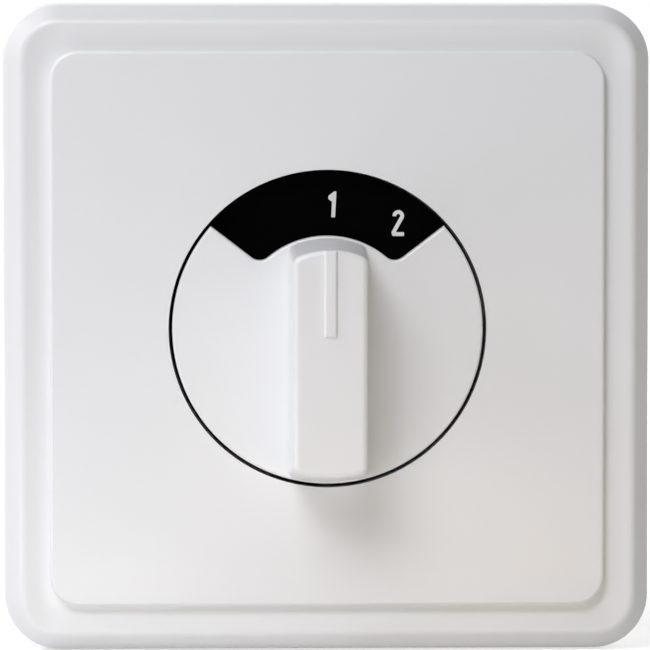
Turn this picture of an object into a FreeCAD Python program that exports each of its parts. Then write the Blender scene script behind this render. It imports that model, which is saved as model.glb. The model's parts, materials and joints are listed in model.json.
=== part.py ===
import FreeCAD, Part
import math
import os
import Sketcher

# Flush-mounted two-speed rotary fan switch with a square cover.
# Every piece is drawn with x to the right, y up and z towards the room, z = 0 being the wall.
# Its placement then stands it up: the room side faces -Y and +Z is up.

# Driving sizes, in millimetres, or degrees where the name ends in angle
SIZES = {
    # support ring and wall box
    "box_spacing": 60.0,
    "slot_width": 3.6,
    "slot_length": 7.0,
    "ring_margin": 1.5,
    "ring_corner": 5.0,
    "ring_thickness": 1.2,
    # cover frame
    "cover_margin": 5.0,
    "frame_corner": 7.0,
    "frame_lean": 0.3,
    "frame_wall": 2.0,
    "border_width": 5.9,
    "bevel_width": 1.85,
    "bevel_height": 2.4,
    "ridge_corner": 4.6,
    "ridge_land": 0.7,
    "ridge_radius": 0.9,
    "cove_run": 2.4,
    "cove_depth": 0.5,
    "cove_radius": 6.0,
    "lip_thickness": 1.6,
    "lip_overlap": 3.5,
    # centre plate
    "plate_thickness": 1.4,
    "plate_corner": 3.6,
    "plate_edge_radius": 0.4,
    "frame_clearance": 0.2,
    "rim_thickness": 1.4,
    "rim_depth": 3.0,
    "cup_wall": 1.6,
    "cup_floor": 1.4,
    "rib_thickness": 1.2,
    "key_width": 2.0,
    "peg_diameter": 2.8,
    "peg_clearance": 0.2,
    # knob
    "knob_diameter": 38.2,
    "knob_gap": 0.45,
    "knob_thickness": 2.2,
    "knob_edge_radius": 0.3,
    "window_radius": 11.4,
    "window_angle": 105.0,
    "window_apex": 1.6,
    "window_corner": 1.6,
    "bar_height": 11.4,
    "bar_base_width": 9.8,
    "bar_top_width": 9.0,
    "bar_upper_lean": 1.4,
    "bar_lower_lean": 1.6,
    "bar_corner": 1.0,
    "bar_edge_radius": 0.7,
    "pointer_width": 1.5,
    "pointer_height": 0.4,
    "pointer_tail": 0.5,
    "pointer_edge_radius": 0.3,
    "knob_wall": 1.6,
    "hub_length": 9.2,
    "hub_gap": 0.4,
    "clip_thickness": 0.5,
    "clip_width": 3.4,
    "clip_length": 9.0,
    "clip_clearance": 0.05,
    # scale disc under the knob
    "scale_gap": 0.5,
    "scale_thickness": 0.9,
    "scale_clearance": 0.2,
    "scale_hole": 20.0,
    "scale_rim": 1.2,
    # nut and washer
    "neck_diameter": 10.0,
    "neck_stand": 0.3,
    "nut_width": 14.0,
    "nut_thickness": 1.9,
    "washer_diameter": 15.0,
    "washer_thickness": 0.4,
    "thread_clearance": 0.05,
    # spindle
    "spindle_diameter": 6.0,
    "spindle_flat": 1.5,
    "pivot_diameter": 4.0,
    "pivot_depth": 1.4,
    "running_clearance": 0.04,
    # insert cover and base
    "boss_height": 1.8,
    "boss_clearance": 0.2,
    "flange_thickness": 2.4,
    "bearing_wall": 3.0,
    "boss_wall": 2.0,
    "base_depth": 26.0,
    "base_corner": 8.0,
    "base_wall": 2.0,
    "floor_thickness": 2.5,
    "base_edge_radius": 1.0,
    "screw_inset": 3.5,
    "screw_post_diameter": 5.8,
    "pivot_boss_diameter": 6.4,
    # screws that hold ring, cover and base
    "screw_diameter": 2.9,
    "screw_length": 12.0,
    "screw_head_diameter": 5.4,
    "screw_head_height": 1.7,
    "screw_clearance": 0.2,
    "screw_slot_width": 0.8,
    "screw_slot_depth": 0.9,
    "head_room": 2.0,
    # detent rotor
    "wheel_diameter": 20.0,
    "wheel_height": 5.0,
    "wheel_set_back": 2.2,
    "notch_count": 12.0,
    "notch_radius": 1.7,
    "notch_offset": 0.6,
    "drum_diameter": 14.0,
    "collar_diameter": 9.0,
    "stop_reach": 3.0,
    "stop_width": 3.0,
    "stop_height": 3.4,
    "stop_clearance": 0.2,
    "stop_rib": 2.0,
    "index_angle": 30.0,
    "thrust_washer_thickness": 0.5,
    "end_play": 0.2,
    # detent springs
    "detent_thickness": 0.5,
    "detent_height": 4.0,
    "detent_overhang": 3.0,
    "detent_nose": 2.3,
    "detent_nose_gap": 0.15,
    "detent_nose_radius": 0.5,
    "detent_set_back": 4.0,
    "spring_post": 5.0,
    "spring_post_width": 3.4,
    "spring_clearance": 0.1,
    # contacts
    "strip_thickness": 0.8,
    "strip_width": 3.0,
    "tab_height": 5.0,
    "contact_radius": 8.6,
    "common_radius": 7.4,
    "contact_gap": 0.1,
    "wiper_thickness": 0.5,
    "wiper_width": 3.0,
    "wiper_drop": 1.0,
    "wiper_tip": 1.0,
    "wiper_ring": 2.4,
    "wiper_clearance": 0.5,
    # terminals
    "post_clearance": 0.6,
    "block_width": 6.0,
    "block_depth": 7.0,
    "block_height": 9.0,
    "block_clearance": 0.15,
    "wire_diameter": 3.2,
    "wire_depth": 7.0,
    "wire_inset": 2.6,
    "wire_entry_diameter": 4.4,
    "wire_entry_round": 0.7,
    "clamp_diameter": 3.0,
    "clamp_head_diameter": 5.0,
    "clamp_head_height": 1.8,
    "clamp_hole_diameter": 5.6,
    "partition_thickness": 1.2,
    "mark_gap": 1.0,
    "mark_width": 5.0,
    "mark_height": 5.0,
    "mark_depth": 0.4,
}

# Sizes worked out from the driving ones, as expressions on the sheet

# Square plates, from the wall box outwards
RING_WIDTH = "(Sizes.box_spacing + Sizes.slot_length + 2 * Sizes.ring_margin)"
FRAME_WIDTH = f"({RING_WIDTH} + 2 * Sizes.cover_margin)"
PLATE_WIDTH = f"({FRAME_WIDTH} - 2 * Sizes.border_width)"
OPENING_WIDTH = f"({PLATE_WIDTH} - 2 * Sizes.lip_overlap)"
RIM_WIDTH = f"({OPENING_WIDTH} - 2 * Sizes.frame_clearance)"

# Heights in front of the wall, stacked from the support ring up to the tip of the knob
BOSS_TOP = "(Sizes.ring_thickness + Sizes.boss_height)"
CUP_TOP = f"({BOSS_TOP} + Sizes.cup_floor)"
WASHER_TOP = f"({CUP_TOP} + Sizes.washer_thickness)"
NUT_TOP = f"({WASHER_TOP} + Sizes.nut_thickness)"
NECK_TOP = f"({NUT_TOP} + Sizes.neck_stand)"
KNOB_UNDERSIDE = f"({NECK_TOP} + Sizes.hub_gap)"
FACE = f"({KNOB_UNDERSIDE} + Sizes.knob_thickness)"
SEAT = f"({FACE} - Sizes.plate_thickness)"
RIDGE = f"({SEAT} + Sizes.cove_depth)"
LIP_UNDERSIDE = f"({SEAT} - Sizes.lip_thickness)"
SCALE_TOP = f"({KNOB_UNDERSIDE} - Sizes.scale_gap)"
SCALE_UNDERSIDE = f"({SCALE_TOP} - Sizes.scale_thickness)"
BAR_TOP = f"({FACE} + Sizes.bar_height)"
POINTER_TOP = f"({BAR_TOP} + Sizes.pointer_height)"
SOCKET_TOP = f"({BAR_TOP} - Sizes.knob_wall)"
SPINDLE_TOP = f"({SOCKET_TOP} - Sizes.hub_gap)"

# Round fits on the axis
KNOB_HOLE = "(Sizes.knob_diameter + 2 * Sizes.knob_gap)"
CUP_WIDTH = f"({KNOB_HOLE} + 2 * Sizes.cup_wall)"
SCALE_DIAMETER = f"({KNOB_HOLE} - 2 * Sizes.scale_clearance)"
SPINDLE_HOLE = "(Sizes.spindle_diameter + 2 * Sizes.running_clearance)"
NECK_HOLE = "(Sizes.neck_diameter + 2 * Sizes.thread_clearance)"
FLAT_HEIGHT = "(Sizes.spindle_diameter / 2 - Sizes.spindle_flat)"

# Insert, worked out from the detent wheel outwards
SPRING_X = "(Sizes.wheel_diameter / 2 + Sizes.detent_set_back)"
SPRING_END = "(Sizes.wheel_diameter / 2 + Sizes.detent_overhang)"
CAVITY_HALF = f"({SPRING_X} + Sizes.detent_thickness + Sizes.spring_post)"
BASE_WIDTH = f"(2 * {CAVITY_HALF} + 2 * Sizes.base_wall)"
CAVITY_CORNER = "(Sizes.base_corner - Sizes.base_wall)"
SCREW_OFFSET = f"({CAVITY_HALF} - Sizes.screw_inset)"
SCREW_HOLE = "(Sizes.screw_diameter + 2 * Sizes.screw_clearance)"
RING_OPENING = (
    f"(2 * ({SCREW_OFFSET} * sqrt(2) - Sizes.screw_head_diameter / 2 - Sizes.head_room))"
)
BOSS_DIAMETER = f"({RING_OPENING} - 2 * Sizes.boss_clearance)"
PEG_OFFSET = f"({BASE_WIDTH} / 2 + Sizes.peg_diameter)"

# Depths behind the wall
FLANGE_BACK = "(-Sizes.flange_thickness)"
FLOOR = "(Sizes.floor_thickness - Sizes.base_depth)"
STRIP_TOP = f"({FLOOR} + Sizes.strip_thickness)"
TIP_BOTTOM = f"({STRIP_TOP} + Sizes.contact_gap)"
WIPER_BOTTOM = f"({TIP_BOTTOM} + Sizes.wiper_drop)"
ROTOR_BOTTOM = f"({WIPER_BOTTOM} + Sizes.wiper_thickness)"
ROTOR_TOP = f"({FLANGE_BACK} - Sizes.end_play - Sizes.thrust_washer_thickness)"
WHEEL_TOP = f"({FLANGE_BACK} - Sizes.wheel_set_back)"
WHEEL_BOTTOM = f"({WHEEL_TOP} - Sizes.wheel_height)"
STOP_BOTTOM = f"({WHEEL_BOTTOM} - Sizes.stop_height)"
PIVOT_BOTTOM = f"({FLOOR} - Sizes.pivot_depth)"
PIVOT_BOSS_TOP = f"({ROTOR_BOTTOM} - Sizes.end_play)"

# Terminals along the lower side of the insert, between the two lower screw posts
TERMINAL_PITCH = (
    f"({SCREW_OFFSET} - Sizes.screw_post_diameter / 2 - Sizes.post_clearance - Sizes.block_width / 2)"
)
BLOCK_OUTER = f"(Sizes.block_clearance - {CAVITY_HALF})"
BLOCK_INNER = f"({BLOCK_OUTER} + Sizes.block_depth)"
WIRE_Y = f"({BLOCK_INNER} - Sizes.wire_inset)"
CLAMP_Z = f"({FLOOR} + Sizes.wire_depth / 2)"
STRIP_END = f"({BLOCK_INNER} + Sizes.block_clearance)"
MARK_LOW = f"({WIRE_Y} + Sizes.wire_entry_diameter / 2 + Sizes.wire_entry_round + Sizes.mark_gap)"

# The sketcher's own numbers for its origin and for the points of a line or arc
ORIGIN = (-1, 1)
START, END, CENTER = range(1, 4)
UPRIGHT = FreeCAD.Rotation(FreeCAD.Vector(1, 0, 0), 90)
HEAD_DOWN = FreeCAD.Rotation(FreeCAD.Vector(1, 0, 0), 180)
NEAR = 0.001

doc = FreeCAD.newDocument("FanSpeedSwitch")
sheet = doc.addObject("Spreadsheet::Sheet", "Sizes")
for row, (name, size) in enumerate(SIZES.items(), start=1):
    sheet.set(f"A{row}", name)
    sheet.set(f"B{row}", str(size))
    sheet.setAlias(f"B{row}", name)
doc.recompute()
bodies = []


def value(expression):
    """The present value of an expression on the sheet."""
    result = sheet.evalExpression(expression)
    return float(getattr(result, "Value", result))


def new_body(name, x="0", y="0", z="0", rotation=UPRIGHT):
    """A body whose own origin stands at x, y, z of the drawing frame."""
    body = doc.addObject("PartDesign::Body", name)
    body.Label = name
    body.Placement = FreeCAD.Placement(FreeCAD.Vector(0, 0, 0), rotation)
    body.setExpression("Placement.Base.x", x)
    body.setExpression("Placement.Base.y", f"-({z})")
    body.setExpression("Placement.Base.z", y)
    bodies.append(body)
    return body


def new_sketch(body, name, height="0", plane="XY_Plane"):
    """A sketch on one of the body's own planes, moved along its normal by height."""
    support = next(f for f in body.Origin.OriginFeatures if f.Role == plane)
    sketch = body.newObject("Sketcher::SketchObject", f"{body.Name}_{name}_sketch")
    sketch.AttachmentSupport = [(support, "")]
    sketch.MapMode = "FlatFace"
    sketch.setExpression("AttachmentOffset.Base.z", height)
    return sketch


def bind(sketch, kind, *arguments):
    """Add a dimension whose value, the last argument, is an expression on the sheet."""
    expression = arguments[-1]
    constraint = Sketcher.Constraint(kind, *arguments[:-1], value(expression))
    index = sketch.addConstraint(constraint)
    sketch.setExpression(f"Constraints[{index}]", expression)


def pin(sketch, geometry, vertex, x, y):
    """Fix a point of the sketch at x, y: on an axis of the sketch where one of them is 0."""
    for kind, axis, place in (("DistanceX", -2, x), ("DistanceY", -1, y)):
        if place == "0":
            sketch.addConstraint(Sketcher.Constraint("PointOnObject", geometry, vertex, axis))
        else:
            bind(sketch, kind, *ORIGIN, geometry, vertex, place)


def vector(x, y):
    return FreeCAD.Vector(value(x), value(y), 0)


def arc(sketch, x, y, radius, first, last):
    """An arc about x, y, counterclockwise from the angle first to the angle last."""
    whole = Part.Circle(vector(x, y), FreeCAD.Vector(0, 0, 1), value(radius))
    return sketch.addGeometry(Part.ArcOfCircle(whole, first, last), False)


def join(sketch, kind, one, other):
    """Tie the end of one line or arc to the start of another."""
    sketch.addConstraint(Sketcher.Constraint(kind, one, END, other, START))


def side_between(sketch, kind, one, other):
    """A straight side from the end of one arc to the start of another."""
    line = Part.LineSegment(sketch.getPoint(one, END), sketch.getPoint(other, START))
    side = sketch.addGeometry(line, False)
    join(sketch, kind, one, side)
    join(sketch, kind, side, other)
    return side


def polygon(sketch, corners):
    """A closed outline of straight sides."""
    count = len(corners)
    points = [vector(x, y) for x, y in corners]
    sides = [
        sketch.addGeometry(Part.LineSegment(points[i], points[(i + 1) % count]), False)
        for i in range(count)
    ]
    for i, side in enumerate(sides):
        join(sketch, "Coincident", side, sides[(i + 1) % count])
        pin(sketch, side, START, *corners[i])


def rectangle(sketch, left, right, bottom, top):
    polygon(sketch, [(left, bottom), (right, bottom), (right, top), (left, top)])


def circle(sketch, diameter, x="0", y="0"):
    whole = Part.Circle(vector(x, y), FreeCAD.Vector(0, 0, 1), value(diameter) / 2)
    index = sketch.addGeometry(whole, False)
    pin(sketch, index, CENTER, x, y)
    bind(sketch, "Diameter", index, diameter)


def rounded_square(sketch, width, corner):
    """A square about the origin with rounded corners."""
    half = f"({width} / 2)"
    middle = f"({half} - {corner})"
    turns = [(1, 1), (-1, 1), (-1, -1), (1, -1)]
    arcs = []
    for quarter, (across, up) in enumerate(turns):
        first = quarter * math.pi / 2
        arcs.append(
            arc(sketch, f"{across} * {middle}", f"{up} * {middle}", corner, first, first + math.pi / 2)
        )
    for quarter, (across, up) in enumerate(turns):
        side_between(sketch, "Tangent", arcs[quarter], arcs[(quarter + 1) % 4])
        pin(sketch, arcs[quarter], CENTER, f"{across} * {middle}", f"{up} * {middle}")
    bind(sketch, "Radius", arcs[0], corner)


def slot(sketch, x, y, length, width, upright):
    """A round-ended slot centred at x, y."""
    reach = f"(({length} - {width}) / 2)"
    step = ("0", reach) if upright else (reach, "0")
    turn = math.pi / 2 if upright else 0.0
    ends = []
    for sign in (1, -1):
        place = (f"{x} + {sign} * {step[0]}", f"{y} + {sign} * {step[1]}")
        first = turn - sign * math.pi / 2
        ends.append(arc(sketch, *place, f"{width} / 2", first, first + math.pi))
        pin(sketch, ends[-1], CENTER, *place)
    side_between(sketch, "Tangent", ends[0], ends[1])
    side_between(sketch, "Tangent", ends[1], ends[0])
    bind(sketch, "Radius", ends[0], f"{width} / 2")


def extrude(kind, body, sketch, length, name, reverse, symmetric):
    feature = body.newObject(f"PartDesign::{kind}", f"{body.Name}_{name}")
    feature.Profile = sketch
    feature.setExpression("Length", length)
    feature.Reversed = reverse
    if symmetric:
        feature.SideType = "Symmetric"
    doc.recompute()
    return feature


def pad(body, sketch, length, name, reverse=False, symmetric=False):
    """Add the sketch's area, along the sketch's normal unless reversed."""
    return extrude("Pad", body, sketch, length, name, reverse, symmetric)


def pocket(body, sketch, length, name, reverse=False, symmetric=False):
    """Cut the sketch's area away, against the sketch's normal unless reversed."""
    before = body.Shape.Volume
    feature = extrude("Pocket", body, sketch, length, name, reverse, symmetric)
    if body.Shape.Volume > before - NEAR:
        raise RuntimeError(f"{feature.Name} cuts nothing")
    return feature


def loft(kind, body, sketches, name):
    """A ruled body, or a cut, through the sketches in order."""
    feature = body.newObject(f"PartDesign::{kind}", f"{body.Name}_{name}")
    feature.Profile = sketches[0]
    feature.Sections = sketches[1:]
    feature.Ruled = True
    doc.recompute()
    return feature


def fillet(body, test, radius, name):
    """Round the edges of the body that pass the test."""
    base = body.Tip
    edges = [f"Edge{i}" for i, edge in enumerate(base.Shape.Edges, start=1) if test(edge)]
    if not edges:
        raise RuntimeError(f"{name} finds no edge")
    feature = body.newObject("PartDesign::Fillet", f"{body.Name}_{name}")
    feature.Base = (base, edges)
    feature.setExpression("Radius", radius)
    doc.recompute()
    return feature


def lies_at(height):
    """A test for edges that lie flat at a height."""
    level = value(height)
    return lambda edge: abs(edge.BoundBox.ZMin - level) < NEAR and abs(edge.BoundBox.ZMax - level) < NEAR


def upright(edge):
    """Whether an edge runs straight along the z direction."""
    box = edge.BoundBox
    return box.ZLength > NEAR and box.XLength + box.YLength < NEAR


def farthest(edge):
    """Largest distance of an edge from the two middle planes, whichever is more."""
    box = edge.BoundBox
    return max(abs(box.XMin), abs(box.XMax), abs(box.YMin), abs(box.YMax))


def make_cover_frame():
    """Square frame: leaning sides, bevel, ridge and a cove that runs down to the seat of the centre plate."""
    body = new_body("cover_frame")
    shoulder = f"({FRAME_WIDTH} - 2 * Sizes.frame_lean)"
    ridge_outer = f"({shoulder} - 2 * Sizes.bevel_width)"
    ridge_inner = f"({ridge_outer} - 2 * Sizes.ridge_land)"
    cove_floor = f"({ridge_inner} - 2 * Sizes.cove_run)"
    sections = (
        ("wall", "0", FRAME_WIDTH, "Sizes.frame_corner"),
        ("shoulder", f"{RIDGE} - Sizes.bevel_height", shoulder, "(Sizes.frame_corner - Sizes.frame_lean)"),
        ("ridge", RIDGE, ridge_outer, "Sizes.ridge_corner"),
    )
    outlines = []
    for name, height, width, corner in sections:
        outlines.append(new_sketch(body, name, height))
        rounded_square(outlines[-1], width, corner)
    loft("AdditiveLoft", body, outlines, "block")

    cove_corner = "(Sizes.ridge_corner - Sizes.ridge_land)"
    cove = [new_sketch(body, "cove_top", RIDGE), new_sketch(body, "cove_floor", SEAT)]
    rounded_square(cove[0], ridge_inner, cove_corner)
    rounded_square(cove[1], cove_floor, f"({cove_corner} - Sizes.cove_run)")
    loft("SubtractiveLoft", body, cove, "cove")

    limit = value(cove_floor) / 2
    at_seat = lies_at(SEAT)
    fillet(body, lambda e: at_seat(e) and farthest(e) < limit + NEAR, "Sizes.cove_radius", "cove_round")
    fillet(body, lies_at(RIDGE), "Sizes.ridge_radius", "ridge_round")

    opening = new_sketch(body, "opening", RIDGE)
    rounded_square(opening, OPENING_WIDTH, "Sizes.plate_corner")
    pocket(body, opening, RIDGE, "opening")

    hollow = new_sketch(body, "hollow")
    inside = f"({FRAME_WIDTH} - 2 * Sizes.frame_wall)"
    rounded_square(hollow, inside, "(Sizes.frame_corner - Sizes.frame_wall)")
    pocket(body, hollow, LIP_UNDERSIDE, "hollow", reverse=True)


def make_center_plate():
    """Raised plate with the knob's cup, a rim that centres the frame, ribs and two locating pegs."""
    body = new_body("center_plate")
    face = new_sketch(body, "face", SEAT)
    rounded_square(face, PLATE_WIDTH, "Sizes.plate_corner")
    pad(body, face, "Sizes.plate_thickness", "face")
    fillet(body, lies_at(FACE), "Sizes.plate_edge_radius", "face_round")

    rim = new_sketch(body, "rim", SEAT)
    rim_inside = f"({RIM_WIDTH} - 2 * Sizes.rim_thickness)"
    rounded_square(rim, RIM_WIDTH, "Sizes.plate_corner")
    rounded_square(rim, rim_inside, "(Sizes.plate_corner - Sizes.rim_thickness)")
    pad(body, rim, "Sizes.rim_depth", "rim", reverse=True)

    ribs = new_sketch(body, "ribs", SEAT)
    half_rib = "(Sizes.rib_thickness / 2)"
    inside = f"(({RIM_WIDTH} - Sizes.rim_thickness) / 2)"
    polygon(
        ribs,
        [
            (half_rib, half_rib),
            (inside, half_rib),
            (inside, f"-{half_rib}"),
            (half_rib, f"-{half_rib}"),
            (half_rib, f"-{inside}"),
            (f"-{half_rib}", f"-{inside}"),
            (f"-{half_rib}", f"-{half_rib}"),
            (f"-{inside}", f"-{half_rib}"),
            (f"-{inside}", half_rib),
            (f"-{half_rib}", half_rib),
            (f"-{half_rib}", inside),
            (half_rib, inside),
        ],
    )
    pad(body, ribs, "Sizes.rim_depth", "ribs", reverse=True)

    cup = new_sketch(body, "cup", BOSS_TOP)
    circle(cup, CUP_WIDTH)
    pad(body, cup, f"{SEAT} - {BOSS_TOP}", "cup")

    pegs = new_sketch(body, "pegs", SEAT)
    circle(pegs, "Sizes.peg_diameter", PEG_OFFSET, PEG_OFFSET)
    circle(pegs, "Sizes.peg_diameter", f"-{PEG_OFFSET}", f"-{PEG_OFFSET}")
    pad(body, pegs, f"{SEAT} - Sizes.peg_clearance", "pegs", reverse=True)

    well = new_sketch(body, "well", FACE)
    circle(well, KNOB_HOLE)
    pocket(body, well, f"{FACE} - {CUP_TOP}", "well")

    key = new_sketch(body, "key", CUP_TOP)
    rectangle(
        key,
        "-Sizes.key_width / 2",
        "Sizes.key_width / 2",
        f"-{KNOB_HOLE} / 2 - Sizes.cup_wall / 2",
        f"-{KNOB_HOLE} / 2 + Sizes.key_width / 2",
    )
    pad(body, key, f"{SCALE_UNDERSIDE} - Sizes.scale_clearance - {CUP_TOP}", "key")

    hole = new_sketch(body, "hole", CUP_TOP)
    circle(hole, NECK_HOLE)
    pocket(body, hole, "Sizes.cup_floor", "hole")


def bar_outline(sketch, width, upper, lower):
    """Grip bar seen from the front: straight sides, ends that are arcs about the axis, rounded corners."""
    corner = "Sizes.bar_corner"
    inset = f"({width} / 2 - {corner})"
    arcs = []
    for turn, radius in ((0.0, upper), (math.pi, lower)):
        up = math.cos(turn)
        height = f"({up} * sqrt(({radius} - {corner})^2 - {inset}^2))"
        swing = math.acos(value(inset) / value(f"({radius} - {corner})"))
        arcs.append(arc(sketch, f"{up} * {inset}", height, corner, turn, turn + swing))
        arcs.append(arc(sketch, "0", "0", radius, turn + swing, turn + math.pi - swing))
        arcs.append(arc(sketch, f"{-up} * {inset}", height, corner, turn + math.pi - swing, turn + math.pi))
        end = arcs[-2]
        join(sketch, "Tangent", arcs[-3], end)
        join(sketch, "Tangent", end, arcs[-1])
        sketch.addConstraint(Sketcher.Constraint("Coincident", end, CENTER, *ORIGIN))
        bind(sketch, "Radius", end, radius)
    for number in (0, 2, 3, 5):
        bind(sketch, "Radius", arcs[number], corner)
    for one, other, place in ((arcs[2], arcs[3], f"-{width} / 2"), (arcs[5], arcs[0], f"{width} / 2")):
        side = side_between(sketch, "Tangent", one, other)
        sketch.addConstraint(Sketcher.Constraint("Vertical", side))
        bind(sketch, "DistanceX", *ORIGIN, side, START, place)


def socket_outline(sketch, flat):
    """Round hole about the axis with one flat on its upper side."""
    radius = f"({SPINDLE_HOLE} / 2)"
    lift = math.asin(value(flat) / value(radius))
    bow = arc(sketch, "0", "0", radius, math.pi - lift, 2 * math.pi + lift)
    chord = side_between(sketch, "Coincident", bow, bow)
    sketch.addConstraint(Sketcher.Constraint("Coincident", bow, CENTER, *ORIGIN))
    sketch.addConstraint(Sketcher.Constraint("Horizontal", chord))
    bind(sketch, "Radius", bow, radius)
    bind(sketch, "DistanceY", *ORIGIN, chord, START, flat)


def window_outline(sketch):
    """Window seen from the front: an inner arc about the axis, and straight sides that pass the rim."""
    half = "(Sizes.window_angle / 2)"
    apex = "Sizes.window_apex"
    radius = "Sizes.window_radius"
    run = f"(sqrt({radius}^2 - ({apex} * sin({half}))^2) - {apex} * cos({half}))"
    near = f"({run} * sin({half}))"
    far = f"(Sizes.knob_diameter * sin({half}))"
    top = f"({apex} + Sizes.knob_diameter * cos({half}))"
    begin = math.acos(value(near) / value(radius))
    inner = arc(sketch, "0", "0", radius, begin, math.pi - begin)
    sketch.addConstraint(Sketcher.Constraint("Coincident", inner, CENTER, *ORIGIN))
    bind(sketch, "Radius", inner, radius)
    bind(sketch, "DistanceX", *ORIGIN, inner, START, near)
    bind(sketch, "DistanceX", *ORIGIN, inner, END, f"-{near}")
    outer = sketch.addGeometry(Part.LineSegment(vector(f"-{far}", top), vector(far, top)), False)
    pin(sketch, outer, START, f"-{far}", top)
    pin(sketch, outer, END, far, top)
    side_between(sketch, "Coincident", inner, outer)
    side_between(sketch, "Coincident", outer, inner)


def make_knob():
    """Disc with a window, and a hollow grip bar with a pointer and a socket for the spindle."""
    body = new_body("knob")
    disc = new_sketch(body, "disc", KNOB_UNDERSIDE)
    circle(disc, "Sizes.knob_diameter")
    pad(body, disc, "Sizes.knob_thickness", "disc")

    window = new_sketch(body, "window", FACE)
    window_outline(window)
    pocket(body, window, "Sizes.knob_thickness", "window")

    inner = value("Sizes.window_radius")

    def window_corner(edge):
        box = edge.BoundBox
        return upright(edge) and abs(math.hypot(box.XMin, box.YMin) - inner) < NEAR

    fillet(body, window_corner, "Sizes.window_corner", "window_corners")
    fillet(body, lies_at(FACE), "Sizes.knob_edge_radius", "disc_round")

    upper_top = "(Sizes.window_radius - Sizes.bar_upper_lean)"
    lower_top = "(Sizes.knob_diameter / 2 - Sizes.bar_lower_lean)"
    foot = new_sketch(body, "bar_foot", KNOB_UNDERSIDE)
    bar_outline(foot, "Sizes.bar_base_width", "Sizes.window_radius", "(Sizes.knob_diameter / 2)")
    crown = new_sketch(body, "bar_crown", BAR_TOP)
    bar_outline(crown, "Sizes.bar_top_width", upper_top, lower_top)
    loft("AdditiveLoft", body, [foot, crown], "bar")
    fillet(body, lies_at(BAR_TOP), "Sizes.bar_edge_radius", "bar_edges")

    pointer = new_sketch(body, "pointer", f"{BAR_TOP} - Sizes.bar_edge_radius")
    rectangle(
        pointer, "-Sizes.pointer_width / 2", "Sizes.pointer_width / 2", "-Sizes.pointer_tail", upper_top
    )
    pad(body, pointer, "Sizes.bar_edge_radius + Sizes.pointer_height", "pointer")
    fillet(body, lies_at(POINTER_TOP), "Sizes.pointer_edge_radius", "pointer_edges")

    chambers = new_sketch(body, "chambers", KNOB_UNDERSIDE)
    side = "(Sizes.bar_top_width / 2 - Sizes.knob_wall)"
    hub = "(Sizes.hub_length / 2)"
    rectangle(chambers, f"-{side}", side, hub, f"{upper_top} - Sizes.knob_wall - Sizes.bar_edge_radius")
    rectangle(chambers, f"-{side}", side, f"Sizes.knob_wall - {lower_top}", f"-{hub}")
    pocket(body, chambers, f"{SOCKET_TOP} - {KNOB_UNDERSIDE}", "chambers", reverse=True)

    socket = new_sketch(body, "socket", KNOB_UNDERSIDE)
    socket_outline(socket, f"({FLAT_HEIGHT} + Sizes.clip_thickness + 2 * Sizes.clip_clearance)")
    pocket(body, socket, f"{SOCKET_TOP} - {KNOB_UNDERSIDE}", "socket", reverse=True)


def make_knob_spring():
    """Leaf between the flat of the spindle and the flat of the socket."""
    body = new_body("knob_spring")
    profile = new_sketch(body, "profile", plane="YZ_Plane")
    inner = f"({FLAT_HEIGHT} + Sizes.clip_clearance)"
    outer = f"({inner} + Sizes.clip_thickness)"
    top = f"({KNOB_UNDERSIDE} + Sizes.clip_length)"
    rectangle(profile, inner, outer, KNOB_UNDERSIDE, top)
    pad(body, profile, "Sizes.clip_width", "leaf", symmetric=True)


def make_scale_disc():
    """Dished ring under the window, keyed to the cup so that it stays still."""
    body = new_body("scale_disc")
    disc = new_sketch(body, "disc", CUP_TOP)
    circle(disc, SCALE_DIAMETER)
    circle(disc, "Sizes.scale_hole")
    pad(body, disc, f"{SCALE_TOP} - {CUP_TOP}", "disc")
    hollow = new_sketch(body, "hollow", CUP_TOP)
    circle(hollow, f"{SCALE_DIAMETER} - 2 * Sizes.scale_rim")
    circle(hollow, "Sizes.scale_hole + 2 * Sizes.scale_rim")
    pocket(body, hollow, f"{SCALE_UNDERSIDE} - {CUP_TOP}", "hollow", reverse=True)
    notch = new_sketch(body, "notch", CUP_TOP)
    rectangle(
        notch,
        "-Sizes.key_width / 2 - Sizes.scale_clearance",
        "Sizes.key_width / 2 + Sizes.scale_clearance",
        f"-{KNOB_HOLE} / 2",
        f"-{KNOB_HOLE} / 2 + Sizes.key_width / 2 + Sizes.scale_clearance",
    )
    pocket(body, notch, f"{SCALE_UNDERSIDE} - {CUP_TOP}", "notch", reverse=True)


def make_fixing_nut():
    """Thin hexagon nut on the neck."""
    body = new_body("fixing_nut")
    hexagon = new_sketch(body, "hexagon", WASHER_TOP)
    half = "(Sizes.nut_width / 2)"
    reach = f"({half} / cos(30 deg))"
    upper = [(half, f"{reach} / 2"), ("0", reach), (f"-{half}", f"{reach} / 2")]
    lower = [(x, f"-{y}") for x, y in reversed(upper)]
    polygon(hexagon, upper + lower)
    circle(hexagon, NECK_HOLE)
    pad(body, hexagon, "Sizes.nut_thickness", "hexagon")


def make_ring(name, bottom, thickness, outer, inner):
    """A flat washer."""
    body = new_body(name)
    outline = new_sketch(body, "outline", bottom)
    circle(outline, outer)
    circle(outline, inner)
    pad(body, outline, thickness, "washer")


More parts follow.
